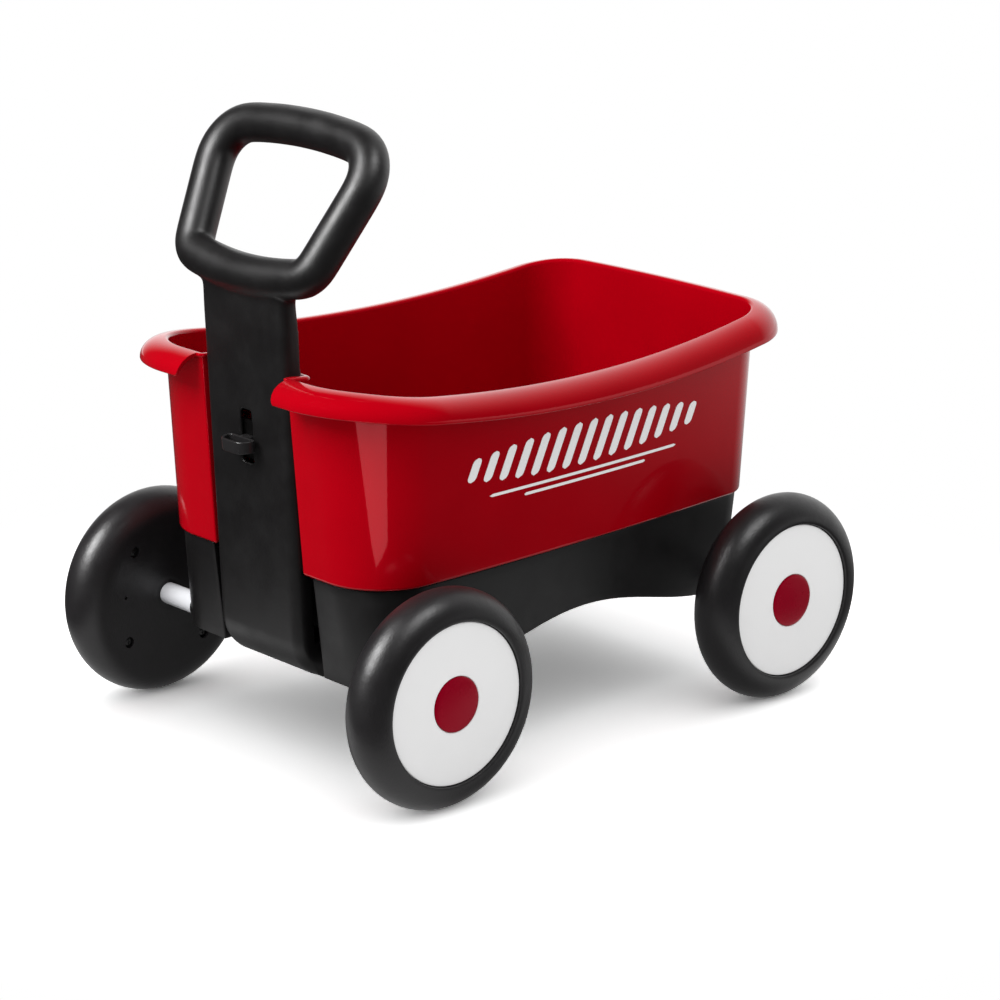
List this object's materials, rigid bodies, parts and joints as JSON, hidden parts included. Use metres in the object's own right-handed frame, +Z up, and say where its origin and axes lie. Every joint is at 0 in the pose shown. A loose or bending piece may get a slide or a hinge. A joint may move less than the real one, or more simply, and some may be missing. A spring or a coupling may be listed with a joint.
{
  "type": "child's pull wagon",
  "caption": "Child's pull wagon: flared plastic tub with a rolled lip on a skirted chassis, free-turning wheels, and an upright loop handle with a sliding latch that folds forward for pulling.",
  "frame": {"origin": "on the floor, midway between the four wheels", "axes": "+Z up; -Y is the handle end, +Y the rear; +X is the wagon's left-to-right direction, with the right wheels at +X when looking towards +Y"},
  "size_m": [0.383, 0.515, 0.484],
  "materials": {
    "tub_red": "glossy moulded plastic",
    "frame_black": "satin, fine moulded grain",
    "tyre_black": "satin blow-moulded plastic",
    "disc_white": "satin white",
    "cap_red": "semi-gloss dark red",
    "axle_steel": "drawn steel",
    "screw_steel": "zinc-plated",
    "screw_black": "black coating"
  },
  "bodies": {
    "chassis": {"chassis": "frame_black", "tub": "tub_red", "front_axle": "axle_steel", "rear_axle": "axle_steel", "front_left_wheel_sleeve": "disc_white", "front_right_wheel_sleeve": "disc_white", "rear_left_wheel_sleeve": "disc_white", "rear_right_wheel_sleeve": "disc_white", "front_left_wheel_retainer": "axle_steel", "front_right_wheel_retainer": "axle_steel", "rear_left_wheel_retainer": "axle_steel", "rear_right_wheel_retainer": "axle_steel", "tub_screw_front_left": "screw_steel", "tub_screw_rear_left": "screw_steel", "tub_screw_front_right": "screw_steel", "tub_screw_rear_right": "screw_steel"},
    "handle": {"handle_post": "frame_black", "handle_grip": "frame_black", "grip_screw_1": "screw_steel", "grip_screw_2": "screw_steel"},
    "latch": {"latch_knob": "frame_black", "latch_plate": "frame_black", "latch_screw": "screw_steel"},
    "front_left_wheel": {"front_left_wheel_tyre": "tyre_black", "front_left_wheel_disc": "disc_white", "front_left_wheel_cap": "cap_red", "front_left_wheel_screw_1": "screw_black", "front_left_wheel_screw_2": "screw_black", "front_left_wheel_screw_3": "screw_black", "front_left_wheel_screw_4": "screw_black"},
    "front_right_wheel": {"front_right_wheel_tyre": "tyre_black", "front_right_wheel_disc": "disc_white", "front_right_wheel_cap": "cap_red", "front_right_wheel_screw_1": "screw_black", "front_right_wheel_screw_2": "screw_black", "front_right_wheel_screw_3": "screw_black", "front_right_wheel_screw_4": "screw_black"},
    "rear_left_wheel": {"rear_left_wheel_tyre": "tyre_black", "rear_left_wheel_disc": "disc_white", "rear_left_wheel_cap": "cap_red", "rear_left_wheel_screw_1": "screw_black", "rear_left_wheel_screw_2": "screw_black", "rear_left_wheel_screw_3": "screw_black", "rear_left_wheel_screw_4": "screw_black"},
    "rear_right_wheel": {"rear_right_wheel_tyre": "tyre_black", "rear_right_wheel_disc": "disc_white", "rear_right_wheel_cap": "cap_red", "rear_right_wheel_screw_1": "screw_black", "rear_right_wheel_screw_2": "screw_black", "rear_right_wheel_screw_3": "screw_black", "rear_right_wheel_screw_4": "screw_black"}
  },
  "joints": [
    {"name": "handle_fold", "type": "hinge", "parent": "chassis", "child": "handle", "pos_m": [0, -0.175, 0.0825], "axis": [1, 0, 0], "range_deg": [0, 95]},
    {"name": "latch_slide", "type": "slide", "parent": "handle", "child": "latch", "axis": [0, -0.0427, 0.9991], "range_m": [0, 0.018]},
    {"name": "front_left_wheel_spin", "type": "hinge", "parent": "chassis", "child": "front_left_wheel", "pos_m": [-0.1715, -0.175, 0.0825], "axis": [1, 0, 0], "continuous": true},
    {"name": "front_right_wheel_spin", "type": "hinge", "parent": "chassis", "child": "front_right_wheel", "pos_m": [0.1715, -0.175, 0.0825], "axis": [1, 0, 0], "continuous": true},
    {"name": "rear_left_wheel_spin", "type": "hinge", "parent": "chassis", "child": "rear_left_wheel", "pos_m": [-0.1715, 0.175, 0.0825], "axis": [1, 0, 0], "continuous": true},
    {"name": "rear_right_wheel_spin", "type": "hinge", "parent": "chassis", "child": "rear_right_wheel", "pos_m": [0.1715, 0.175, 0.0825], "axis": [1, 0, 0], "continuous": true}
  ]
}
